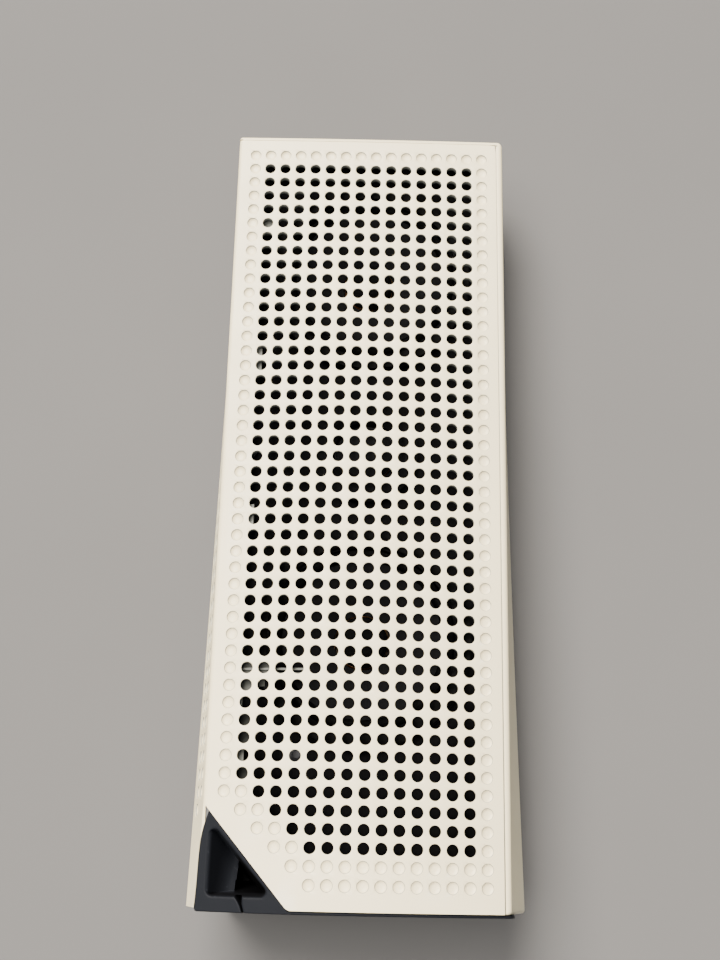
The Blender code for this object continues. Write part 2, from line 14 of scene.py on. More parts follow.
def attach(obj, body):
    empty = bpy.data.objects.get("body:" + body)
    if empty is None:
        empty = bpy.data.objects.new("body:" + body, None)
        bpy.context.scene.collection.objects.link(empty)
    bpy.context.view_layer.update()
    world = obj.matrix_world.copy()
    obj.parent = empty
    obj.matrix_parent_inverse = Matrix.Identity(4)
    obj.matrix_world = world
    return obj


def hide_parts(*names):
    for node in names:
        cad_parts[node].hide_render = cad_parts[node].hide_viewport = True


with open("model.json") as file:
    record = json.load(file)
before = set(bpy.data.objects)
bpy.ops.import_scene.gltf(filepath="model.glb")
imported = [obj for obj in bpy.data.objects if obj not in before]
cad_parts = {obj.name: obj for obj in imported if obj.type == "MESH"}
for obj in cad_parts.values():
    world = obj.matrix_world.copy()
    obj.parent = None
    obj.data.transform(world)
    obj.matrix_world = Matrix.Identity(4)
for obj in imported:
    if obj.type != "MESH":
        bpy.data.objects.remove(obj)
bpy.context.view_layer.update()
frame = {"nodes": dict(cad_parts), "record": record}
NODES = frame["nodes"]

MM = 0.001
GAP = 0.3

# Case, in the face frame
FAR_Y = 122.0
NEAR_Y = -121.8
FACE_CENTRE_X = 0.6
FACE_HALF = 44.0
CROWN_FAR = 0.4
CROWN_NEAR = 5.8
FAR_DEPTH = 32.0
NEAR_DEPTH = 50.0
SKIRT_FAR_Z = -12.4
SKIRT_NEAR_Z = -20.8
FACE_LEFT = -43.2
LEFT_FLARE = 0.3
FACE_RIGHT = 44.5
COVER_RIGHT = 42.3
COVER_FAR_Y = 120.6
COVER_THICK = 2.0
SKIRT_THICK = 1.2
EDGE_RADIUS = 1.3
FOOT_HEIGHT = 2.0
BASE_THICK = 3.0
PLAN_MIDDLE = (0.65, -2.253)  # middle of the whole object in plan, which stands over the origin
TILT = math.atan((NEAR_DEPTH - FAR_DEPTH) / (FAR_Y - NEAR_Y))

# Perforation
PITCH = 5.0
HOLE_RADIUS = 1.75
RING = 20  # points around a hole
LAST_ROW = 45
LAST_HOLE_ROW = 43
FIRST_CUT_ROW = 40
LAST_COLUMN = 14
MIDDLE_ROW = 22.5
MIDDLE_COLUMN = 6.5

# Slanted corner
CUT_LEFT = Vector((-43.5, -93.0, -5.3))
CUT_RIGHT = Vector((-18.0, -122.0, -1.4))
CUT_CORNER = Vector((-45.4, -122.4, -11.3))


def along(y):
    """0 at the far end, 1 at the near end."""
    return (FAR_Y - y) / (FAR_Y - NEAR_Y)


def crown(x, y):
    """Height of the face: flat at the far end, arched across at the near end."""
    sag = CROWN_FAR + (CROWN_NEAR - CROWN_FAR) * along(y)
    return -sag * ((x - FACE_CENTRE_X) / FACE_HALF) ** 2


def base_z(y):
    return -(FAR_DEPTH + (NEAR_DEPTH - FAR_DEPTH) * along(y))


def skirt_z(y):
    return SKIRT_FAR_Z + (SKIRT_NEAR_Z - SKIRT_FAR_Z) * along(y)


def skirt_left(y):
    t = along(y)
    return -(43.0 + 4.6 * t + 0.9 * t * t)


def skirt_right(y):
    t = along(y)
    return 44.6 + 2.8 * t + 2.4 * t * t


def facet_z(x, y):
    """Plane of the slanted corner."""
    normal = (CUT_RIGHT - CUT_LEFT).cross(CUT_CORNER - CUT_LEFT)
    run = (x - CUT_LEFT.x) * normal.x + (y - CUT_LEFT.y) * normal.y
    return CUT_LEFT.z - run / normal.z


LIFT = FOOT_HEIGHT + GAP - base_z(0.0) * math.cos(TILT)
TO_WORLD = (Matrix.Translation((-PLAN_MIDDLE[0] * MM, -PLAN_MIDDLE[1] * MM, LIFT * MM))
            @ Matrix.Rotation(-TILT, 4, 'X') @ Matrix.Scale(MM, 4))


def lerp(a, b, t):
    return a + (b - a) * t


def clamp(value, low, high):
    return min(max(value, low), high)


def round_corner(x, y, centre_x, centre_y, side):
    """Moves a point of a square corner onto its arc about a centre. Side is 1 far right, -1 near left."""
    dx, dy = (x - centre_x) * side, (y - centre_y) * side
    if dx <= 0.0 or dy <= 0.0:
        return x, y
    shrink = max(dx, dy) / math.hypot(dx, dy)
    return centre_x + (x - centre_x) * shrink, centre_y + (y - centre_y) * shrink


# ---------------------------------------------------------------- materials

# Places of the colour sockets on a Mix node
COLOUR_A = 6
COLOUR_B = 7
COLOUR_OUT = 2
# Default colour of full painted shade
FULL_SHADE_BLACK = (0.006, 0.006, 0.007)


class Nodes:
    """Small helper to write a node tree line by line."""

    def __init__(self, name):
        self.material = bpy.data.materials.new(name)
        self.material.use_nodes = True
        self.tree = self.material.node_tree
        self.shader = self.tree.nodes["Principled BSDF"]
        self.place = self.tree.nodes.new("ShaderNodeTexCoord").outputs["Object"]

    def add(self, kind, **values):
        node = self.tree.nodes.new(kind)
        for key, value in values.items():
            if key in node.inputs:
                self.put(node.inputs[key], value)
            else:
                setattr(node, key, value)
        return node

    def put(self, socket, value):
        if isinstance(value, bpy.types.NodeSocket):
            self.tree.links.new(value, socket)
        else:
            socket.default_value = value

    def noise(self, scale, detail=2.0, stretch=None):
        place = self.place
        if stretch:
            mapping = self.add("ShaderNodeMapping", Vector=place)
            mapping.inputs["Scale"].default_value = stretch
            place = mapping.outputs["Vector"]
        return self.add("ShaderNodeTexNoise", Vector=place, Scale=scale, Detail=detail).outputs["Fac"]

    def ramp(self, value, low, high, out_low, out_high):
        node = self.add("ShaderNodeMapRange", Value=value)
        node.inputs["From Min"].default_value = low
        node.inputs["From Max"].default_value = high
        node.inputs["To Min"].default_value = out_low
        node.inputs["To Max"].default_value = out_high
        return node.outputs["Result"]

    def mix(self, factor, first, second):
        node = self.add("ShaderNodeMix", data_type='RGBA')
        self.put(node.inputs["Factor"], factor)
        for socket, value in ((node.inputs[COLOUR_A], first), (node.inputs[COLOUR_B], second)):
            self.put(socket, value if isinstance(value, bpy.types.NodeSocket) else (*value, 1.0))
        return node.outputs[COLOUR_OUT]

    def bump(self, height, distance, strength=1.0, below=None):
        node = self.add("ShaderNodeBump", Height=height, Distance=distance, Strength=strength)
        if below:
            self.put(node.inputs["Normal"], below)
        return node.outputs["Normal"]


def moulded(name, colour, worn, roughness, grain, grain_depth, middle=None, deep=FULL_SHADE_BLACK, gloss=0.5):
    """Moulded plastic or rubber: fine grain, patchy gloss, slightly rubbed edges, and painted shade where
    its mesh asks for it.

    A per-point attribute of painted shade on the mesh turns colour into middle, a painted half shade, at 0.5
    and into deep, the painted full shade, at 1.
    """
    n = Nodes(name)
    patch = n.noise(70.0, 3.0)
    broad = n.noise(22.0, 2.0)
    dull = [c * 0.965 for c in colour]
    bright = [min(c * 1.03, 1.0) for c in colour]
    tone = n.mix(n.ramp(broad, 0.3, 0.7, 0.0, 1.0), dull, bright)
    edge = n.ramp(n.add("ShaderNodeNewGeometry").outputs["Pointiness"], 0.53, 0.62, 0.0, 0.55)
    # Painted shade: the mesh's attribute darkens the colour towards middle, then towards deep
    painted_shade = n.add("ShaderNodeAttribute", attribute_name="painted_shade").outputs["Fac"]
    shaded = n.mix(n.ramp(painted_shade, 0.0, 0.5, 0.0, 1.0), n.mix(edge, tone, worn), middle or colour)
    n.put(n.shader.inputs["Base Color"], n.mix(n.ramp(painted_shade, 0.5, 1.0, 0.0, 1.0), shaded, deep))
    n.shader.inputs["Specular IOR Level"].default_value = gloss
    n.put(n.shader.inputs["Roughness"], n.ramp(patch, 0.3, 0.7, roughness - 0.06, roughness + 0.07))
    fine = n.bump(n.noise(grain, 3.0), grain_depth)
    n.put(n.shader.inputs["Normal"], n.bump(n.noise(grain * 0.12, 2.0), grain_depth * 2.0, 0.6, fine))
    return n.material


def brushed(name, colour, roughness, stretch=(1.0, 40.0, 1.0)):
    """Metal with fine drawn lines."""
    n = Nodes(name)
    lines = n.noise(900.0, 2.0, stretch)
    dull = [c * 0.85 for c in colour]
    n.put(n.shader.inputs["Base Color"], n.mix(n.ramp(lines, 0.3, 0.7, 0.0, 1.0), dull, colour))
    n.put(n.shader.inputs["Roughness"], n.ramp(n.noise(120.0), 0.3, 0.7, roughness - 0.08, roughness + 0.12))
    n.shader.inputs["Metallic"].default_value = 1.0
    n.put(n.shader.inputs["Normal"], n.bump(lines, 0.00002))
    return n.material


def woven(name, colour, scale, depth):
    """Cloth, felt or paper fibre."""
    n = Nodes(name)
    fibre = n.noise(scale, 6.0, (1.0, 0.35, 1.0))
    dull = [c * 0.7 for c in colour]
    n.put(n.shader.inputs["Base Color"], n.mix(n.ramp(fibre, 0.3, 0.7, 0.0, 1.0), dull, colour))
    n.shader.inputs["Roughness"].default_value = 0.9
    n.shader.inputs["Specular IOR Level"].default_value = 0.2
    n.put(n.shader.inputs["Normal"], n.bump(fibre, depth))
    return n.material


# The first colour is the painted shade deep in the white plastic's holes; the others are plastic and fibre
# colours
HOLE_SHADE_BLACK = (0.004, 0.005, 0.0045)
NEAR_BLACK = (0.0022, 0.0022, 0.0026)
RUBBED_BLACK = (0.006, 0.006, 0.0065)
FIBRE_BLACK = (0.006, 0.006, 0.007)

# White plastic; middle is its painted half shade and the holes' colour its painted full shade
WHITE = moulded("white_shell_plastic", (0.82, 0.725, 0.475), (0.85, 0.78, 0.60), 0.42, 1500.0, 0.000012,
                middle=(0.30, 0.31, 0.28), deep=HOLE_SHADE_BLACK)
# A darker, greyer copy of the white plastic: painted shade on the ribs behind the plate
RIB_SHADED_WHITE = moulded("rib_plastic_painted_shade", (0.62, 0.60, 0.52), (0.66, 0.64, 0.57), 0.8, 1500.0, 0.000012,
                    middle=(0.28, 0.285, 0.26), deep=HOLE_SHADE_BLACK, gloss=0.05)
# Grey plastic; middle and deep are painted shade in the pocket and the slot
DARK = moulded("grey_body_plastic", (0.0078, 0.0089, 0.0117), (0.018, 0.020, 0.025), 0.55, 2600.0, 0.00003,
               middle=(0.0062, 0.0066, 0.0085), deep=(0.0011, 0.0011, 0.0014), gloss=0.1)
RUBBER = moulded("black_rubber", (0.003, 0.003, 0.003), (0.008, 0.008, 0.008), 0.8, 1800.0, 0.00003,
                 gloss=0.06)
PLASTIC = moulded("black_plastic", NEAR_BLACK, RUBBED_BLACK, 0.7, 2200.0, 0.00002, gloss=0.06)
BASKET = moulded("black_powder_coat", NEAR_BLACK, RUBBED_BLACK, 0.75, 3000.0, 0.00004, gloss=0.06)
FERRITE = moulded("magnet_ferrite", (0.045, 0.045, 0.05), (0.10, 0.10, 0.11), 0.6, 900.0, 0.00005)
BOARD = moulded("solder_mask", (0.02, 0.12, 0.05), (0.10, 0.20, 0.08), 0.35, 700.0, 0.00002)
SLEEVE = moulded("shrink_sleeve", (0.015, 0.022, 0.07), (0.04, 0.05, 0.12), 0.3, 500.0, 0.00001)
CERAMIC = moulded("fired_ceramic", (0.70, 0.69, 0.65), (0.8, 0.79, 0.76), 0.6, 1200.0, 0.00004)
MATERIALS = {
    "shell_white": WHITE,
    "body_grey": DARK,
    "steel": brushed("dark_zinc_steel", (0.05, 0.05, 0.054), 0.42),
    "rubber": RUBBER,
    "cone_paper": woven("pressed_cone_paper", FIBRE_BLACK, 1400.0, 0.00006),
    "spider_cloth": woven("spider_weave", (0.26, 0.15, 0.055), 2200.0, 0.00008),
    "copper": brushed("copper_winding", (0.72, 0.34, 0.16), 0.34, (1.0, 1.0, 60.0)),
    "ferrite": FERRITE,
    "black_plastic": PLASTIC,
    "basket_black": BASKET,
    "dome_silk": woven("dome_silk", FIBRE_BLACK, 2600.0, 0.00005),
    "board_green": BOARD,
    "can_sleeve": SLEEVE,
    "ceramic_white": CERAMIC,
    "aluminium": brushed("extruded_aluminium", (0.66, 0.67, 0.68), 0.36),
    "felt": woven("grey_felt", (0.20, 0.20, 0.21), 1600.0, 0.0002),
}


# ---------------------------------------------------------------- meshes

class Body:
    """Points and faces of one closed piece, in the face frame, with a painted shade value for each point."""

    def __init__(self):
        self.points = []
        self.painted_shade = []
        self.faces = []

    def point(self, x, y, z, painted_shade=0.0):
        self.points.append((x, y, z))
        self.painted_shade.append(painted_shade)
        return len(self.points) - 1

    def face(self, *corners):
        self.faces.append(corners)

    def band(self, first, second, closed=True):
        """Quads between two rows of points."""
        count = len(first)
        for i in range(count if closed else count - 1):
            j = (i + 1) % count
            self.face(first[i], first[j], second[j], second[i])

    def loft(self, sections):
        """Closed body through outlines with the same number of points."""
        rings = [[self.point(*p) for p in section] for section in sections]
        for first, second in zip(rings, rings[1:]):
            self.band(first, second)
        self.caps(rings)
        return self

    def caps(self, rings):
        """Closes both ends of a row of rings."""
        self.face(*rings[0])
        self.face(*reversed(rings[-1]))

    def build(self, name):
        mesh = bpy.data.meshes.new(name)
        mesh.from_pydata([TO_WORLD @ Vector(p) for p in self.points], [], self.faces)
        if any(self.painted_shade):
            mesh.attributes.new("painted_shade", 'FLOAT', 'POINT').data.foreach_set("value", self.painted_shade)
        work = bmesh.new()
        work.from_mesh(mesh)
        bmesh.ops.recalc_face_normals(work, faces=work.faces)
        work.to_mesh(mesh)
        work.free()
        obj = bpy.data.objects.new(name, mesh)
        bpy.context.scene.collection.objects.link(obj)
        return obj


def apply_modifiers(obj):
    evaluated = obj.evaluated_get(bpy.context.evaluated_depsgraph_get())
    mesh = bpy.data.meshes.new_from_object(evaluated)
    obj.modifiers.clear()
    obj.data = mesh


def cut(obj, *tools):
    """Takes the tools out of obj and removes them."""
    for tool in tools:
        modifier = obj.modifiers.new("cut", 'BOOLEAN')
        modifier.operation = 'DIFFERENCE'
        modifier.solver = 'MANIFOLD'
        modifier.object = tool
    bpy.context.view_layer.update()
    apply_modifiers(obj)
    for tool in tools:
        bpy.data.objects.remove(tool, do_unlink=True)


NORMAL_WEIGHT = 80


def dress(obj, slot_name, *replaced, sharp=50.0, body="case"):
    """Material, shading, body, slot and the CAD nodes this piece stands for."""
    obj.data.materials.clear()
    obj.data.materials.append(MATERIALS[slot_name])
    obj.data.shade_smooth()
    obj.data.set_sharp_from_angle(angle=math.radians(sharp))
    weighted = obj.modifiers.new("weighted_normals", 'WEIGHTED_NORMAL')
    weighted.keep_sharp = True
    weighted.weight = NORMAL_WEIGHT
    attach(obj, body)
    if replaced:
        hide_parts(*replaced)
    return obj


def rounded(outline, radii, steps=6):
    """Plan outline with its corners replaced by arcs."""
    points = []
    for i, corner in enumerate(outline):
        here = Vector(corner)
        before = (Vector(outline[i - 1]) - here).normalized()
        after = (Vector(outline[(i + 1) % len(outline)]) - here).normalized()
        half = before.angle(after) / 2.0
        centre = here + (before + after).normalized() * (radii[i] / math.sin(half))
        start = here + before * (radii[i] / math.tan(half)) - centre
        end = here + after * (radii[i] / math.tan(half)) - centre
        sweep = start.angle_signed(end)
        for k in range(steps + 1):
            points.append(tuple(centre + Matrix.Rotation(-sweep * k / steps, 2) @ start))
    return points


# ---------------------------------------------------------------- perforated front cover

def left_edge(y):
    """Top of the left wall, the start of the flat face and its height."""
    top_x = FACE_LEFT - LEFT_FLARE * along(y)
    flat_x = top_x + EDGE_RADIUS
    return top_x, flat_x, crown(flat_x, y)


def wall_reach(y):
    """How far the wall goes down below the face's edge."""
    return left_edge(y)[2] - skirt_z(y)


def wall_surface(depth, y, sink):
    """Point on the left wall, depth below the face's edge, sunk into the material."""
    top_x, _, edge_z = left_edge(y)
    share = (depth - EDGE_RADIUS) / (wall_reach(y) - EDGE_RADIUS)
    return lerp(top_x, skirt_left(y), share) + sink, y, edge_z - depth


def face_surface(x, y, sink):
    return x, y, crown(x, y) - sink


def arc_point(degrees, y, sink):
    _, flat_x, edge_z = left_edge(y)
    radius = EDGE_RADIUS - sink
    angle = math.radians(degrees)
    return flat_x - radius * math.cos(angle), y, edge_z - EDGE_RADIUS + radius * math.sin(angle)


WALL_CELLS = (12.2, 7.6, 3.0)  # depths that part the rows of wall dimples
ARC_STEPS = (0.0, 22.5, 45.0, 67.5, 90.0)
INNER_ARC_DROP = 2.7
BOTTOM_ROUND = 0.3
RIM_ROUND = ((0.0, 0.1), (0.04, 0.03), (0.14, 0.0))  # inset and drop of the rim's rounding
CORNER_RADIUS = 1.1
# Painted shade on the left wall
LEFT_SHADE = 0.07


def wall_fit(y):
    """The two columns of wall dimples close up a little where the wall is shallow."""
    return min(1.0, (wall_reach(y) - 0.5) / WALL_CELLS[0])


def cover_columns():
    """Columns across the cover, from the bottom of the left wall to the right edge."""
    columns = [("bottom", 0.0, 0.0), ("bottom", BOTTOM_ROUND, 0.0)]
    columns += [("wall", depth, 0.0) for depth in WALL_CELLS]
    columns += [("arc", angle, 0.0) for angle in ARC_STEPS]
    columns += [("face", (c - MIDDLE_COLUMN - 0.5) * PITCH, 0.0) for c in range(-1, LAST_COLUMN + 2)]
    columns += [("face", COVER_RIGHT - inset, drop) for inset, drop in reversed(RIM_ROUND)]
    return columns


def cover_rows():
    """Rows along the cover, from the far end to the near end, as (y, drop)."""
    rows = [(COVER_FAR_Y - inset, drop) for inset, drop in RIM_ROUND]
    rows += [((MIDDLE_ROW - r) * PITCH, 0.0) for r in range(-1, LAST_ROW + 2)]
    rows += [(NEAR_Y + inset, drop) for inset, drop in reversed(RIM_ROUND)]
    return rows


def round_far_corner(x, y):
    """Rounds the cover's far right corner in plan."""
    return round_corner(x, y, COVER_RIGHT - CORNER_RADIUS, COVER_FAR_Y - CORNER_RADIUS, 1.0)


def outer_point(column, y, drop):
    """Point of the cover's outside."""
    kind, value, extra = column
    if kind == "bottom":
        x, _, z = wall_surface(wall_reach(y) - value, y, drop)
        return (x + (BOTTOM_ROUND if value == 0.0 else 0.0)), y, z
    if kind == "wall":
        return wall_surface(value * wall_fit(y), y, drop)
    if kind == "arc":
        return arc_point(value, y, drop)
    x, y = round_far_corner(value, y)
    return face_surface(x, y, drop + extra)


def left_wall_painted_shade(column):
    """Painted shade: the left wall is a little darker than the face."""
    return LEFT_SHADE if column[0] in ("bottom", "wall") else 0.0


def inner_point(column, y):
    """Point of the cover's inside."""
    kind, value, _ = column
    top_x, flat_x, edge_z = left_edge(y)
    if kind == "bottom":
        x, _, z = wall_surface(wall_reach(y) - value, y, SKIRT_THICK)
        return x, y, z
    if kind == "wall":
        return wall_surface(value * wall_fit(y), y, SKIRT_THICK)
    if kind == "arc":
        share = value / ARC_STEPS[-1]
        return lerp(top_x + SKIRT_THICK, flat_x, share), y, edge_z - lerp(INNER_ARC_DROP, COVER_THICK, share)
    x, y = round_far_corner(value, y)
    return face_surface(x, y, COVER_THICK)


def cell_kind(row, column):
    """What is in a cell of the face: a hole, a blind dimple or nothing."""
    if row == -1:
        return "dimple"
    if row > LAST_HOLE_ROW:
        return "dimple" if column >= row - FIRST_CUT_ROW - 1 else None
    cut = max(row - FIRST_CUT_ROW + 1, 0)
    if column == LAST_COLUMN:
        return "dimple"
    if cut and column >= cut:
        return "hole"
    if cut:
        return "dimple" if column >= cut - 2 else None
    return "dimple" if column == -1 else "hole"


def ring(body, surface, u, y, radius, sink, painted_shade=0.0):
    """Circle of points on a surface, sunk into it."""
    points = []
    for k in range(RING):
        angle = 2.0 * math.pi * k / RING
        place = surface(u + radius * math.cos(angle), y + radius * math.sin(angle), sink)
        points.append(body.point(*place, painted_shade))
    return points


def collar(body, corners, inner):
    """Fills between the four corners of a cell and a ring inside it."""
    quarter = RING // 4
    for q in range(4):
        for k in range(quarter):
            body.face(corners[q], inner[(q * quarter + k) % RING], inner[(q * quarter + k + 1) % RING])
        body.face(corners[q], inner[((q + 1) * quarter) % RING], corners[(q + 1) % 4])


# Radius, sink and painted shade of each ring from the face inwards; the painted shade darkens the walls of
# holes and dimples
HOLE_RINGS = (
    (HOLE_RADIUS + 0.03, 0.0, 0.0),
    (HOLE_RADIUS + 0.005, 0.01, 0.42),
    (HOLE_RADIUS, 0.04, 0.46),
)
DIMPLE_RINGS = (
    (HOLE_RADIUS + 0.06, 0.0, 0.0),
    (HOLE_RADIUS, 0.07, 0.25),
    (HOLE_RADIUS - 0.04, 0.24, 0.78),
    (HOLE_RADIUS - 0.17, 0.36, 0.0),
    (HOLE_RADIUS - 0.6, 0.62, 0.0),
    (HOLE_RADIUS - 1.2, 0.76, 0.0),
)
# In the middle of the face the holes open out behind a thinner plate
THIN_PLATE = 0.8
RELIEF_RADIUS = 2.3
THIN_ROWS = (2, 43)
THIN_COLUMNS = (3, 11)
# Rings of a hole's bore: radius, sink and painted shade, which reaches full painted shade at the back
BORE = (
    (HOLE_RADIUS, THIN_PLATE, 0.5),
    (HOLE_RADIUS, COVER_THICK, 1.0),
)
RELIEVED_BORE = (
    (HOLE_RADIUS, THIN_PLATE, 0.75),
    (RELIEF_RADIUS, THIN_PLATE + 0.1, 1.0),
    (RELIEF_RADIUS + 0.05, COVER_THICK, 1.0),
)
# Where the grid of cells starts among the cover's rows and columns
FIRST_CELL_ROW = len(RIM_ROUND)
FIRST_WALL_CELL = 2
FIRST_FACE_CELL = FIRST_WALL_CELL + len(WALL_CELLS) + len(ARC_STEPS)


def stack_rings(body, surface, u, y, corners, profile):
    """Rings of a profile, joined to the corners of their cell; gives back the last ring."""
    rings = [ring(body, surface, u, y, *step) for step in profile]
    collar(body, corners, rings[0])
    for first, second in zip(rings, rings[1:]):
        body.band(first, second)
    return rings[-1]


def drill(body, u, y, top, under, bore):
    """Hole through the plate, between a cell of the outside and the same cell of the inside."""
    low = stack_rings(body, face_surface, u, y, top, HOLE_RINGS)
    for step in bore:
        below = ring(body, face_surface, u, y, *step)
        body.band(low, below)
        low = below
    collar(body, under, low)


def build_cover():
    body = Body()
    columns = cover_columns()
    rows = cover_rows()
    outer = [[body.point(*outer_point(c, y, drop), left_wall_painted_shade(c)) for c in columns] for y, drop in rows]
    inner = [[body.point(*inner_point(c, y)) for c in columns] for y, _ in rows]
    for i in range(len(rows) - 1):
        row = i - FIRST_CELL_ROW - 1
        in_rows = -1 <= row <= LAST_ROW
        centre_y = (rows[i][0] + rows[i + 1][0]) / 2.0
        for j in range(len(columns) - 1):
            top = (outer[i][j + 1], outer[i][j], outer[i + 1][j], outer[i + 1][j + 1])
            under = (inner[i][j + 1], inner[i][j], inner[i + 1][j], inner[i + 1][j + 1])
            kind = None
            column = j - FIRST_FACE_CELL - 1
            wall_cell = j - FIRST_WALL_CELL
            surface = face_surface
            u = (column - MIDDLE_COLUMN) * PITCH
            if in_rows and -1 <= column <= LAST_COLUMN:
                kind = cell_kind(row, column)
            elif in_rows and wall_cell in (0, 1) and row <= FIRST_CUT_ROW + 1 - wall_cell:
                kind = "dimple"
                surface = wall_surface
                u = (WALL_CELLS[wall_cell] + WALL_CELLS[wall_cell + 1]) / 2.0 * wall_fit(centre_y)
                top = (outer[i][j], outer[i][j + 1], outer[i + 1][j + 1], outer[i + 1][j])
            if kind == "hole":
                thin = THIN_ROWS[0] <= row <= THIN_ROWS[1] and THIN_COLUMNS[0] <= column <= THIN_COLUMNS[1]
                drill(body, u, centre_y, top, under, RELIEVED_BORE if thin else BORE)
                continue
            body.face(*under)
            if kind == "dimple":
                body.face(*stack_rings(body, surface, u, centre_y, top, DIMPLE_RINGS))
            else:
                body.face(*top)
    for first, second in ((outer[0], inner[0]), (outer[-1], inner[-1])):
        body.band(first, second, closed=False)
    for side in (0, -1):
        body.band([row[side] for row in outer], [row[side] for row in inner], closed=False)
    cover = body.build("front_cover_perforated")
    cut(cover, *corner_tools())
    return dress(cover, "shell_white", "front_cover")


CUT_ROUND = 3.0
CUT_ROUND_STEPS = 6
TOOL_LEFT = -60.0
TOOL_TOP = 8.0
TOOL_BOTTOM = -30.0
TOOL_PAST = 8.0
PLATE_INSET = 0.6
LIP_STEPS = 12
LIP_CLEAR = 0.06
LIP_WIDTH = 4.0
LIP_DEPTH = 1.5
LIP_TO_CUT = 0.4
LIP_LEAST = 0.1


def corner_outline(left_limit):
    """Plan of what the slanted corner takes away, with its two ends rounded."""
    down = Vector((0.0, -1.0))
    run = (CUT_RIGHT - CUT_LEFT).to_2d().normalized()
    right = Vector((1.0, 0.0))
    points = []
    share = (NEAR_Y - CUT_LEFT.y) / (CUT_RIGHT.y - CUT_LEFT.y)
    near_right = CUT_LEFT.to_2d().lerp(CUT_RIGHT.to_2d(), share)
    for corner, before, after in ((CUT_LEFT.to_2d(), down, run), (near_right, run, right)):
        turn = before.angle(after)
        start = corner - before * CUT_ROUND * math.tan(turn / 2.0)
        centre = start + Vector((-before.y, before.x)) * CUT_ROUND
        for k in range(CUT_ROUND_STEPS + 1):
            points.append(centre + Matrix.Rotation(turn * k / CUT_ROUND_STEPS, 2) @ (start - centre))
    outline = [(p.x, p.y) for p in points if p.x > left_limit]
    if len(outline) < len(points):
        skipped = [p for p in points if p.x <= left_limit][-1]
        following = Vector(outline[0])
        share = (left_limit - skipped.x) / (following.x - skipped.x)
        edge = skipped.lerp(following, share)
        outline.insert(0, (edge.x, edge.y))
    past_y = NEAR_Y - TOOL_PAST
    return outline + [(outline[-1][0], past_y), (left_limit, past_y)]


def prism(outline, top, bottom):
    """Upright body between two levels, each a number or a rule of x and y."""
    def height(rule, x, y):
        return rule(x, y) if callable(rule) else rule

    low = [(x, y, height(bottom, x, y)) for x, y in outline]
    high = [(x, y, height(top, x, y)) for x, y in outline]
    return Body().loft([low, high])


def lip_plan():
    """Plan of the strip along the end cap's left edge, where the cover is cut deeper to make room."""
    steps = [cap_left(k / LIP_STEPS) for k in range(-1, LIP_STEPS)]
    run = CUT_RIGHT - CUT_LEFT
    outline = [(x - LIP_CLEAR, y) for x, y in steps]
    for x, y in reversed(steps):
        diagonal = CUT_LEFT.x + run.x * (y - CUT_LEFT.y) / run.y
        outline.append((min(x + LIP_WIDTH, max(diagonal - LIP_TO_CUT, x + LIP_LEAST)), y))
    return outline


def corner_tools():
    """What is cut off the cover: all above the slant, the plate under it, and room for the end cap."""
    wide = [(TOOL_LEFT, CUT_LEFT.y + 1.0)] + corner_outline(TOOL_LEFT)
    over = prism(wide, TOOL_TOP, facet_z).build("tool_facet")
    plate = prism(corner_outline(FACE_LEFT + PLATE_INSET), TOOL_TOP, TOOL_BOTTOM).build("tool_plate")
    thin = prism(lip_plan(), TOOL_TOP, lambda x, y: facet_z(x, y) - LIP_DEPTH).build("tool_thin")
    return over, plate, thin


CAP_LOW_LEFT = (-45.15, -122.8)
CAP_APEX = (-41.5, -95.4)
CAP_BULGE = 1.15


def cap_left(t):
    """Left edge of the end cap's slanted surface: 0 at the near end, 1 at its apex."""
    bulge = CAP_BULGE * math.sin(math.pi * clamp(t, 0.0, 1.0) ** 1.8)
    return lerp(CAP_LOW_LEFT[0], CAP_APEX[0], t) - bulge, lerp(CAP_LOW_LEFT[1], CAP_APEX[1], t)


# ---------------------------------------------------------------- ribs under the cover

RIB_GAP = 0.4
# Each rib or pad starts at the left wall: right end, far edge, near edge, depth of its top, thickness,
# painted shade
RIB_PADS = (
    (-30.6, 92.0, 88.0, 2.3, 3.0, 0.80),
    (-32.6, 46.6, 38.2, 2.4, 3.0, 0.62),
    (-32.9, -4.8, -11.8, 2.4, 3.0, 0.55),
    (-25.4, -52.9, -57.4, 3.3, 2.0, 0.84),
    (-30.4, -57.6, -61.2, 3.3, 2.0, 0.84),
    (-33.7, -63.4, -65.6, 2.4, 3.0, 0.55),
    (-30.9, -67.5, -77.5, 4.0, 2.0, 0.95),
    (-32.5, -78.2, -82.0, 2.6, 3.0, 0.80),
    (-30.9, -82.6, -87.0, 4.0, 2.0, 0.96),
    (-15.6, -54.7, -55.3, 2.2, 0.9, 0.72),
    (-16.0, -56.0, -56.3, 2.6, 0.6, 0.86),
)
# A tab clear of the wall: left end, then as above
RIB_TAB = (-30.3, -27.3, -57.6, -60.0, 3.3, 2.0, 0.84)


def build_ribs():
    """Ribs and pads moulded behind the plate, along the left wall."""
    body = Body()

    def block(left, right, far, near, depth, thick, shade):
        outline = ((left, near), (right, near), (right, far), (left, far))
        low = [(x, y, crown(x, y) - depth - thick, shade) for x, y in outline]
        top = [(x, y, crown(x, y) - depth, shade) for x, y in outline]
        body.loft([low, top])

    for right, far, near, depth, thick, shade in RIB_PADS:
        left = max(left_edge(far)[0], left_edge(near)[0]) + SKIRT_THICK + RIB_GAP
        block(left, right, far, near, depth, thick, shade)
    block(*RIB_TAB)
    ribs = dress(body.build("front_cover_ribs"), "shell_white")
    # The ribs take the darker copy of the white plastic: painted shade
    ribs.data.materials[0] = RIB_SHADED_WHITE
    return ribs


# ---------------------------------------------------------------- side shell

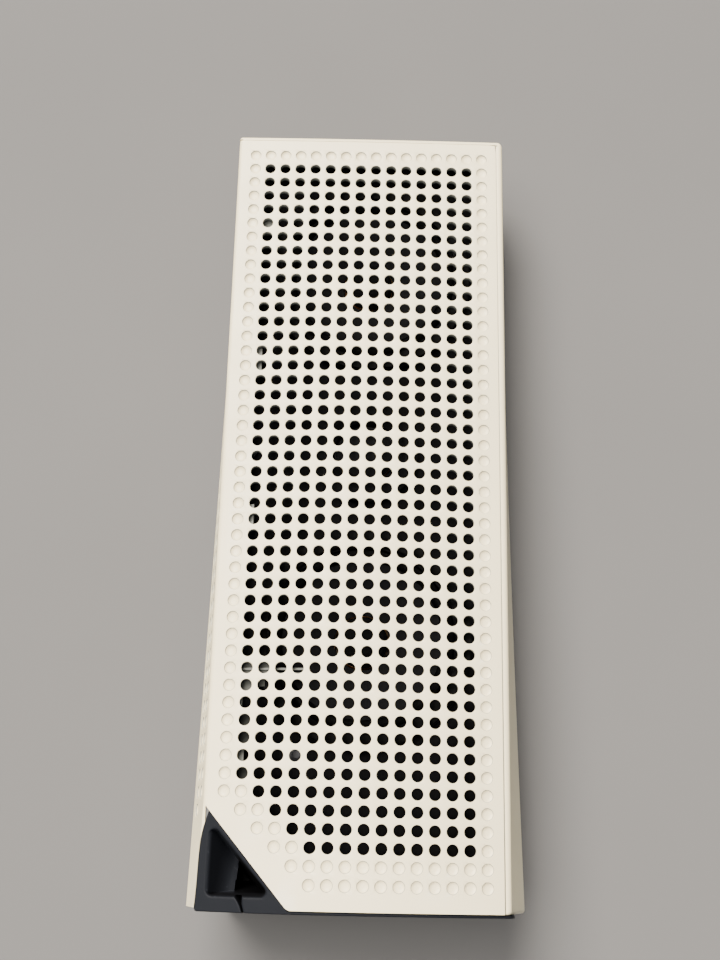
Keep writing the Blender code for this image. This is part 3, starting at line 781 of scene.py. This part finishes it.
STRIP_WIDTH = 1.9
FAR_RIM = 1.1
FAR_RADIUS = 0.98
SHELL_CORNER = 1.7
SHELL_WALL = 2.0
LEFT_END_ROUND = 1.0
WEB_THICK = 1.5
WEB_WIDTH = 2.7
WEB_STATIONS = (0.0, 0.1, 0.3, 0.6, 1.0, WEB_THICK)
STATION_GAP = 0.01
SIDE_STEPS = 26
CORNER_STEPS = 8
END_STEPS = 18
SEAM_CLOSE = 0.12
FAR_CLOSE = 0.15
LEDGE = 0.18
LEDGE_DROP = 0.25
LEDGE_FALL = 0.7
LEDGE_THICK = 0.3
# Painted shade on the ledge under the cover's edge
LEDGE_SHADE = 0.3
STRIP_ROUND = ((0.0, 0.2), (0.05, 0.06), (0.12, 0.0))  # inset and drop of the strip's inner edge
ARC_DEGREES = (0.0, 18.0, 36.0, 54.0, 72.0, 90.0)
END_ROUND = 1.0
END_DROP = 0.6
# Painted shade on the shell's outer wall
WALL_SHADE = 0.1
FOOT_CHAMFER = 0.3
UNDER_COVER = 0.3


def shell_stations():
    """Path of the top outer edge: up the right side, round the far corner and along the far end.

    Each station is (x, y, inward x, inward y, how far it belongs to the far end, how solid the web is).
    """
    stations = [(FACE_RIGHT, NEAR_Y + dy, -1.0, 0.0, 0.0, 1.0) for dy in WEB_STATIONS]
    start = NEAR_Y + WEB_THICK + STATION_GAP
    for k in range(SIDE_STEPS + 1):
        y = lerp(start, FAR_Y - SHELL_CORNER, k / SIDE_STEPS)
        stations.append((FACE_RIGHT, y, -1.0, 0.0, 0.0, 0.0))
    for k in range(1, CORNER_STEPS + 1):
        share = k / CORNER_STEPS
        out_x, out_y = math.cos(share * math.pi / 2.0), math.sin(share * math.pi / 2.0)
        x = FACE_RIGHT - SHELL_CORNER + SHELL_CORNER * out_x
        y = FAR_Y - SHELL_CORNER + SHELL_CORNER * out_y
        stations.append((x, y, -out_x, -out_y, share, 0.0))
    left_x = FACE_LEFT + LEFT_END_ROUND
    for k in range(1, END_STEPS + 1):
        x = lerp(FACE_RIGHT - SHELL_CORNER, left_x, k / END_STEPS)
        stations.append((x, FAR_Y, 0.0, -1.0, 1.0, 0.0))
    for degrees in (30.0, 60.0, 90.0):
        in_x, out_y = math.sin(math.radians(degrees)), math.cos(math.radians(degrees))
        x = left_x - LEFT_END_ROUND * in_x
        y = FAR_Y - LEFT_END_ROUND * (1.0 - out_y)
        stations.append((x, y, in_x, -out_y, 1.0, 0.0))
    return stations


def shell_section(x, y, in_x, in_y, far, web):
    """Outline of the shell's wall at one station, from the groove over the top and down the outside."""
    ease = 0.0
    if y < NEAR_Y + END_ROUND:
        ease = END_ROUND - math.sqrt(END_ROUND ** 2 - (NEAR_Y + END_ROUND - y) ** 2)
        x -= ease
    width = lerp(STRIP_WIDTH, FAR_RIM, far) + SEAM_CLOSE * (1.0 - along(y)) - ease + FAR_CLOSE * far
    radius = lerp(EDGE_RADIUS, FAR_RADIUS, far)
    flare = (skirt_right(y) - FACE_RIGHT) * (1.0 - far)
    low_z = skirt_z(y)

    def at(inset, z_drop, shade=0.0):
        px, py = x + in_x * inset, y + in_y * inset
        return px, py, crown(px, py) - z_drop - END_DROP * ease, shade

    ledge = LEDGE_DROP + LEDGE_FALL * along(y) ** 3
    # Painted shade on the ledge, darker towards the near end
    shade = LEDGE_SHADE * (1.0 + along(y))
    points = [at(width + LEDGE, ledge + LEDGE_THICK)]
    points += [at(width + LEDGE, ledge, shade), at(width, ledge, shade)]
    points += [at(width - inset, z_drop) for inset, z_drop in STRIP_ROUND]
    for degrees in ARC_DEGREES:
        sine, cosine = math.sin(math.radians(degrees)), math.cos(math.radians(degrees))
        # Painted shade on the outer wall, from the middle of the rounded edge down to the foot
        tone = WALL_SHADE * max(sine - cosine, 0.0)
        points.append(at(radius * (1.0 - sine), radius * (1.0 - cosine), tone))
    foot_x, foot_y = x - in_x * flare, y - in_y * flare
    points.append((foot_x, foot_y, low_z + FOOT_CHAMFER, WALL_SHADE))
    points.append((foot_x + in_x * FOOT_CHAMFER, foot_y + in_y * FOOT_CHAMFER, low_z))
    thick = lerp(SHELL_WALL, WEB_WIDTH + flare, web)
    points.append((foot_x + in_x * thick, foot_y + in_y * thick, low_z))
    points.append(at(lerp(width, WEB_WIDTH, web), COVER_THICK + 2.0 * UNDER_COVER))
    points.append(at(width, COVER_THICK + UNDER_COVER))
    return points


def build_shell():
    body = Body().loft([shell_section(*station) for station in shell_stations()])
    return dress(body.build("side_shell_moulded"), "shell_white", "side_shell")


# ---------------------------------------------------------------- end cap with its cable pocket

OUTER_Y = -122.8
STRIP_TOP_Y = -122.1
PANEL_BACK_Y = -119.9
PANEL_RIGHT = 45.5
PANEL_CORNER = 2.6
FLANGE_DROP = 0.8
RIM_SINK = 0.1
CROWN_SINK = 0.15
FRONT_ROUND = 0.55
SHOULDER_Z = SKIRT_NEAR_Z - 0.5
SHOULDER_FALL = 1.0
FOOT_LEFT = -40.5
FOOT_RIGHT = 41.5
CAP_CORNER = 1.1
CAP_CHAMFER = 0.4
FLANGE_THICK = 1.6
FLANGE_SLOPE = 1.0
BACK_DROP = 4.0

# Pocket: its mouth in plan, then the scoop left of the seam and the deep part right of it
POCKET = ((-41.9, -96.6), (-42.7, -119.0), (-21.3, -119.0))
POCKET_RADII = (2.3, 2.9, 2.0)
MOUTH_GROW = 0.35
MOUTH_LIP = (0.9, 8.0)  # radius and slope
MOUTH_BLEND = 1.2
SCOOP_LIP = (2.2, 2.1)
SCOOP_BLEND = 3.0
SCOOP_Z = -14.0
SCOOP_FALL = 0.35
DEEP_Z = -34.0
SEAM_TOP = Vector((-32.9, -105.5))
SEAM_LOW = Vector((-34.3, -118.0))
SEAM_STEP = 0.35

# Slot from the pocket out through the rim
SLOT_IN = Vector((-32.3, -118.2))
SLOT_OUT = Vector((-30.7, -122.9))
SLOT_START = -0.5
SLOT_OVERLAP = 0.8
SLOT_HALF = 0.5
FUNNEL = 1.0
FUNNEL_FALL = 1.3
SLOT_GROW = 0.3
SLOT_LIP = (0.5, 9.0)
SLOT_FLOOR_Z = -15.0
SLOT_BLEND = 0.5
EDGE_BLEND = 0.1

# Painted shade in the pocket: the depth where it is full, and the lighter painted shade of the band along
# its near wall
FULL_SHADE_DEPTH = 3.0
BAND_SHADE = 0.8
BAND_Y = -117.6


def smooth_min(a, b, radius):
    h = max(radius - abs(a - b), 0.0) / radius
    return min(a, b) - h * h * radius * 0.25


def smooth_max(a, b, radius):
    return -smooth_min(-a, -b, radius)


def quarter_round(inside, radius):
    """Drop of a rounded edge; inside is the distance in from its end."""
    if inside >= radius:
        return 0.0
    return radius - math.sqrt(max(radius ** 2 - (radius - inside) ** 2, 0.0))


def lip(inside, radius, slope):
    """Drop of a rounded lip that turns into a steep wall; inside is the distance in from its line."""
    if inside <= 0.0:
        return 0.0
    steep = radius * slope / math.sqrt(1.0 + slope * slope)
    if inside < steep:
        return radius - math.sqrt(radius * radius - inside * inside)
    return radius - math.sqrt(radius * radius - steep * steep) + (inside - steep) * slope


def distance_inside(x, y, start, end):
    """Distance to the left of the line from start to end."""
    ex, ey = end[0] - start[0], end[1] - start[1]
    return (ex * (y - start[1]) - ey * (x - start[0])) / math.hypot(ex, ey)


POCKET_OUTLINE = rounded(POCKET, POCKET_RADII, 8)


def pocket_distance(x, y):
    """Distance to the convex outline of the pocket's mouth, positive inside."""
    following = POCKET_OUTLINE[1:] + POCKET_OUTLINE[:1]
    return min(distance_inside(x, y, start, end) for start, end in zip(POCKET_OUTLINE, following))


def seam_x(y):
    return lerp(SEAM_TOP.x, SEAM_LOW.x, (y - SEAM_TOP.y) / (SEAM_LOW.y - SEAM_TOP.y))


def pocket_drop(x, y):
    """How far the pocket's surface lies below the facet."""
    inside = pocket_distance(x, y) + MOUTH_GROW
    if inside <= 0.0:
        return 0.0
    facet = facet_z(x, y)
    floor = facet - (SCOOP_Z - SCOOP_FALL * (x - POCKET[0][0]))
    past_seam = x - seam_x(y)
    if past_seam > 0.0:
        bed = lerp(floor, facet - DEEP_Z, clamp(past_seam / SEAM_STEP, 0.0, 1.0))
    else:
        scoop = lip(distance_inside(x, y, POCKET[0], POCKET[1]) + MOUTH_GROW, *SCOOP_LIP)
        bed = smooth_min(scoop, floor, SCOOP_BLEND)
    return max(smooth_min(lip(inside, *MOUTH_LIP), bed, MOUTH_BLEND), 0.0)


def slot_drop(x, y):
    """Depth of the slot, which is funnelled at the pocket."""
    t = (y - SLOT_IN.y) / (SLOT_OUT.y - SLOT_IN.y)
    if t < SLOT_START or pocket_distance(x, y) > SLOT_OVERLAP:
        return 0.0
    centre = lerp(SLOT_IN.x, SLOT_OUT.x, t)
    half = SLOT_HALF + FUNNEL * clamp(1.0 - t * FUNNEL_FALL, 0.0, 1.0) ** 2.0
    inside = half + SLOT_GROW - abs(x - centre)
    return min(lip(inside, *SLOT_LIP), facet_z(x, y) - SLOT_FLOOR_Z)


def cap_height(x, y):
    """Top surface of the end cap: the flange under the cover, or the slanted rim with pocket and slot."""
    if x > CUT_RIGHT.x:
        z = crown(x, y) - FLANGE_DROP
        drop = quarter_round(PANEL_RIGHT - x, PANEL_CORNER)
    else:
        z = min(facet_z(x, y) - RIM_SINK, crown(x, y) - CROWN_SINK)
        drop = 0.0
    if x < CUT_RIGHT.x:
        drop = smooth_max(pocket_drop(x, y), slot_drop(x, y), SLOT_BLEND)
    if y < OUTER_Y + FRONT_ROUND:
        drop = smooth_max(drop, quarter_round(y - OUTER_Y, FRONT_ROUND), EDGE_BLEND)
    return z - drop


def cap_painted_shade(x, y):
    """Painted shade of a point in the pocket or the slot, darker the deeper it lies. The scoop gets no
    painted shade.
    """
    in_scoop = x < seam_x(y) and y > BAND_Y
    if x > CUT_RIGHT.x or in_scoop:
        return 0.0
    drop = max(pocket_drop(x, y), slot_drop(x, y))
    return clamp(drop / FULL_SHADE_DEPTH, 0.0, BAND_SHADE if y <= BAND_Y else 1.0)


CAP_COLUMNS = 132
CAP_ROWS = 128
PANEL_COLUMNS = 60


def cap_columns():
    """Bottom and top point of each column of the end cap's upper surface, in plan."""
    columns = []
    for i in range(CAP_COLUMNS + 1):
        share = i / CAP_COLUMNS
        low = Vector((lerp(CAP_LOW_LEFT[0], CUT_RIGHT.x, share), OUTER_Y))
        high = Vector((lerp(CAP_APEX[0], CUT_RIGHT.x, share), lerp(CAP_APEX[1], STRIP_TOP_Y, share)))
        columns.append((low, high))
    for i in range(1, PANEL_COLUMNS + 1):
        x = lerp(CUT_RIGHT.x, PANEL_RIGHT, i / PANEL_COLUMNS)
        columns.append((Vector((x, OUTER_Y)), Vector((x, STRIP_TOP_Y))))
    return columns


def cap_line(low, high, lean):
    """Points of one column, each with its painted shade. Lean is the column's share in the left edge's
    bulge.
    """
    centre_x = CAP_LOW_LEFT[0] + CAP_CORNER
    centre_y = OUTER_Y + CAP_CORNER
    line = []
    for k in range(CAP_ROWS + 1):
        t = k / CAP_ROWS
        p = low.lerp(high, t)
        p.x += (cap_left(t)[0] - lerp(CAP_LOW_LEFT[0], CAP_APEX[0], t)) * lean
        x, y = round_corner(p.x, p.y, centre_x, centre_y, -1.0)
        line.append((x, y, cap_height(x, y), cap_painted_shade(x, y)))
    return line


def build_cap():
    body = Body()
    floor = base_z(NEAR_Y)
    rings = []
    for index, (low, high) in enumerate(cap_columns()):
        line = cap_line(low, high, max(1.0 - index / CAP_COLUMNS, 0.0) ** 2)
        x0, y0 = line[0][:2]
        x1, y1, z1 = line[-1][:3]
        foot_x0 = clamp(x0, FOOT_LEFT, FOOT_RIGHT)
        foot_x1 = clamp(x1, FOOT_LEFT, FOOT_RIGHT)
        back_y = max(y1, PANEL_BACK_Y)
        front = [
            (foot_x0, OUTER_Y + CAP_CHAMFER, floor),
            (foot_x0, OUTER_Y, floor + CAP_CHAMFER),
            (foot_x0, y0, SHOULDER_Z - SHOULDER_FALL),
            (x0, y0, SHOULDER_Z),
        ]
        back = [
            (x1, y1, z1 - FLANGE_THICK),
            (x1, back_y, z1 - FLANGE_THICK - FLANGE_SLOPE),
            (foot_x1, back_y, min(z1 - BACK_DROP, SHOULDER_Z - SHOULDER_FALL)),
            (foot_x1, back_y, floor),
        ]
        rings.append([body.point(*p) for p in front + line + back])
    for first, second in zip(rings, rings[1:]):
        body.band(first, second)
    body.caps(rings)
    return dress(body.build("end_cap_moulded"), "body_grey", "end_cap", sharp=60.0)


# ---------------------------------------------------------------- rear tub and base plate

TUB_OUTLINE = ((-40.2, -90.0), (-14.6, -119.4), (41.2, -119.4), (41.2, 119.4), (-40.2, 119.4))
TUB_RADII = (4.0, 4.0, 3.0, 5.0, 5.0)
TUB_WALL = 2.5
TUB_TOP = -11.8
BASE_OUTLINE = ((-40.2, -119.4), (41.2, -119.4), (41.2, 119.4), (-40.2, 119.4))
BASE_RADII = (3.0, 3.0, 5.0, 5.0)
# Height and inset of each level
BASE_LEVELS = ((0.0, 0.9), (0.25, 0.35), (0.9, 0.0), (BASE_THICK - 0.4, 0.0), (BASE_THICK, 0.4))


def inset_outline(outline, centre, amount):
    """Moves each point by amount towards the centre, both along x and along y."""
    points = []
    for x, y in outline:
        points.append((x + math.copysign(amount, centre[0] - x), y + math.copysign(amount, centre[1] - y)))
    return points


def build_tub():
    """Ring of wall that stands on the base plate, open at the top."""
    body = Body()
    outer = rounded(TUB_OUTLINE, TUB_RADII)
    inner = inset_outline(outer, (0.0, 0.0), TUB_WALL)

    def top(outline):
        return [body.point(x, y, TUB_TOP) for x, y in outline]

    def bottom(outline):
        return [body.point(x, y, base_z(y) + BASE_THICK + GAP) for x, y in outline]

    rings = [top(outer), bottom(outer), bottom(inner), top(inner)]
    for k, ring_points in enumerate(rings):
        body.band(ring_points, rings[(k + 1) % len(rings)])
    return dress(body.build("rear_tub_moulded"), "body_grey", "rear_tub")


def build_base():
    outline = rounded(BASE_OUTLINE, BASE_RADII)
    sections = []
    for height, inset in BASE_LEVELS:
        sections.append([(x, y, base_z(y) + height) for x, y in inset_outline(outline, (0.5, 0.0), inset)])
    return dress(Body().loft(sections).build("base_plate_moulded"), "body_grey", "base_plate")


build_cover()
build_ribs()
build_shell()
build_cap()
build_tub()
build_base()

# ---------------------------------------------------------------- floor, light and camera

FLOOR_HALF = 3.0
WORLD_COLOUR = (0.80, 0.87, 1.0, 1.0)
WORLD_STRENGTH = 0.2
# Kind, name, place, power, colour, then the angle of a sun or the size of an area light
LIGHTS = (
    ('SUN', "window", (-0.36, 0.80, 1.08), 10.8, (1.0, 0.935, 0.85), 36.0),
    ('SUN', "ceiling", (-0.45, 0.1, 1.35), 3.8, (1.0, 0.945, 0.87), 38.0),
    ('AREA', "fill", (-0.35, -1.1, 0.5), 5.5, (1.0, 0.97, 0.93), 0.7),
)
# Camera, in metres: x and y from the face frame's origin, z from the floor
CAMERA_PLACE = Vector((-0.0004, -0.0816, 0.4009))
CAMERA_FORWARD = Vector((-0.0006, 0.2284, -0.9736))
CAMERA_UP = Vector((-0.0213, 0.9733, 0.2284))
SENSOR_WIDTH = 36.0
LENS = 60.36


def add_object(name, data):
    obj = bpy.data.objects.new(name, data)
    bpy.context.scene.collection.objects.link(obj)
    return obj


def build_floor():
    corners = [(x * FLOOR_HALF, y * FLOOR_HALF, 0.0) for x, y in ((-1, -1), (1, -1), (1, 1), (-1, 1))]
    mesh = bpy.data.meshes.new("studio_floor")
    mesh.from_pydata(corners, [], [(0, 1, 2, 3)])
    n = Nodes("pale_floor")
    colour = n.mix(n.noise(9.0, 3.0), (0.106, 0.104, 0.102), (0.121, 0.119, 0.117))
    n.put(n.shader.inputs["Base Color"], colour)
    n.shader.inputs["Roughness"].default_value = 0.85
    mesh.materials.append(n.material)
    add_object("studio_floor", mesh)


def add_light(kind, name, place, power, colour, spread):
    """A soft light at place, turned to the object."""
    light = bpy.data.lights.new(name, kind)
    light.energy = power
    light.color = colour
    if kind == 'SUN':
        light.angle = math.radians(spread)
    else:
        light.size = spread
    obj = add_object(name, light)
    obj.location = place
    obj.rotation_euler = Vector(place).to_track_quat('Z', 'Y').to_euler()


def build_lights():
    world = bpy.data.worlds.new("studio")
    bpy.context.scene.world = world
    world.use_nodes = True
    background = world.node_tree.nodes["Background"]
    background.inputs["Color"].default_value = WORLD_COLOUR
    background.inputs["Strength"].default_value = WORLD_STRENGTH
    for light in LIGHTS:
        add_light(*light)


def build_camera():
    camera = bpy.data.cameras.new("camera")
    obj = add_object("camera", camera)
    forward = CAMERA_FORWARD.normalized()
    right = forward.cross(CAMERA_UP).normalized()
    up = right.cross(forward)
    turn = Matrix((right, up, -forward)).transposed().to_4x4()
    middle = Vector((*PLAN_MIDDLE, 0.0)) * MM
    obj.matrix_world = Matrix.Translation(CAMERA_PLACE - middle) @ turn
    camera.sensor_fit = 'HORIZONTAL'
    camera.sensor_width = SENSOR_WIDTH
    camera.lens = LENS
    camera.clip_start = 0.01
    bpy.context.scene.camera = obj


def dress_cad():
    """Every CAD node that still shows gets its procedural material."""
    slot_of = {entry["node"]: entry["material_slot"] for entry in frame["record"]["subparts"]}
    for name, node in NODES.items():
        material = MATERIALS[slot_of[name]]
        for index in range(len(node.material_slots)):
            node.material_slots[index].material = material


dress_cad()
build_floor()
build_lights()
build_camera()
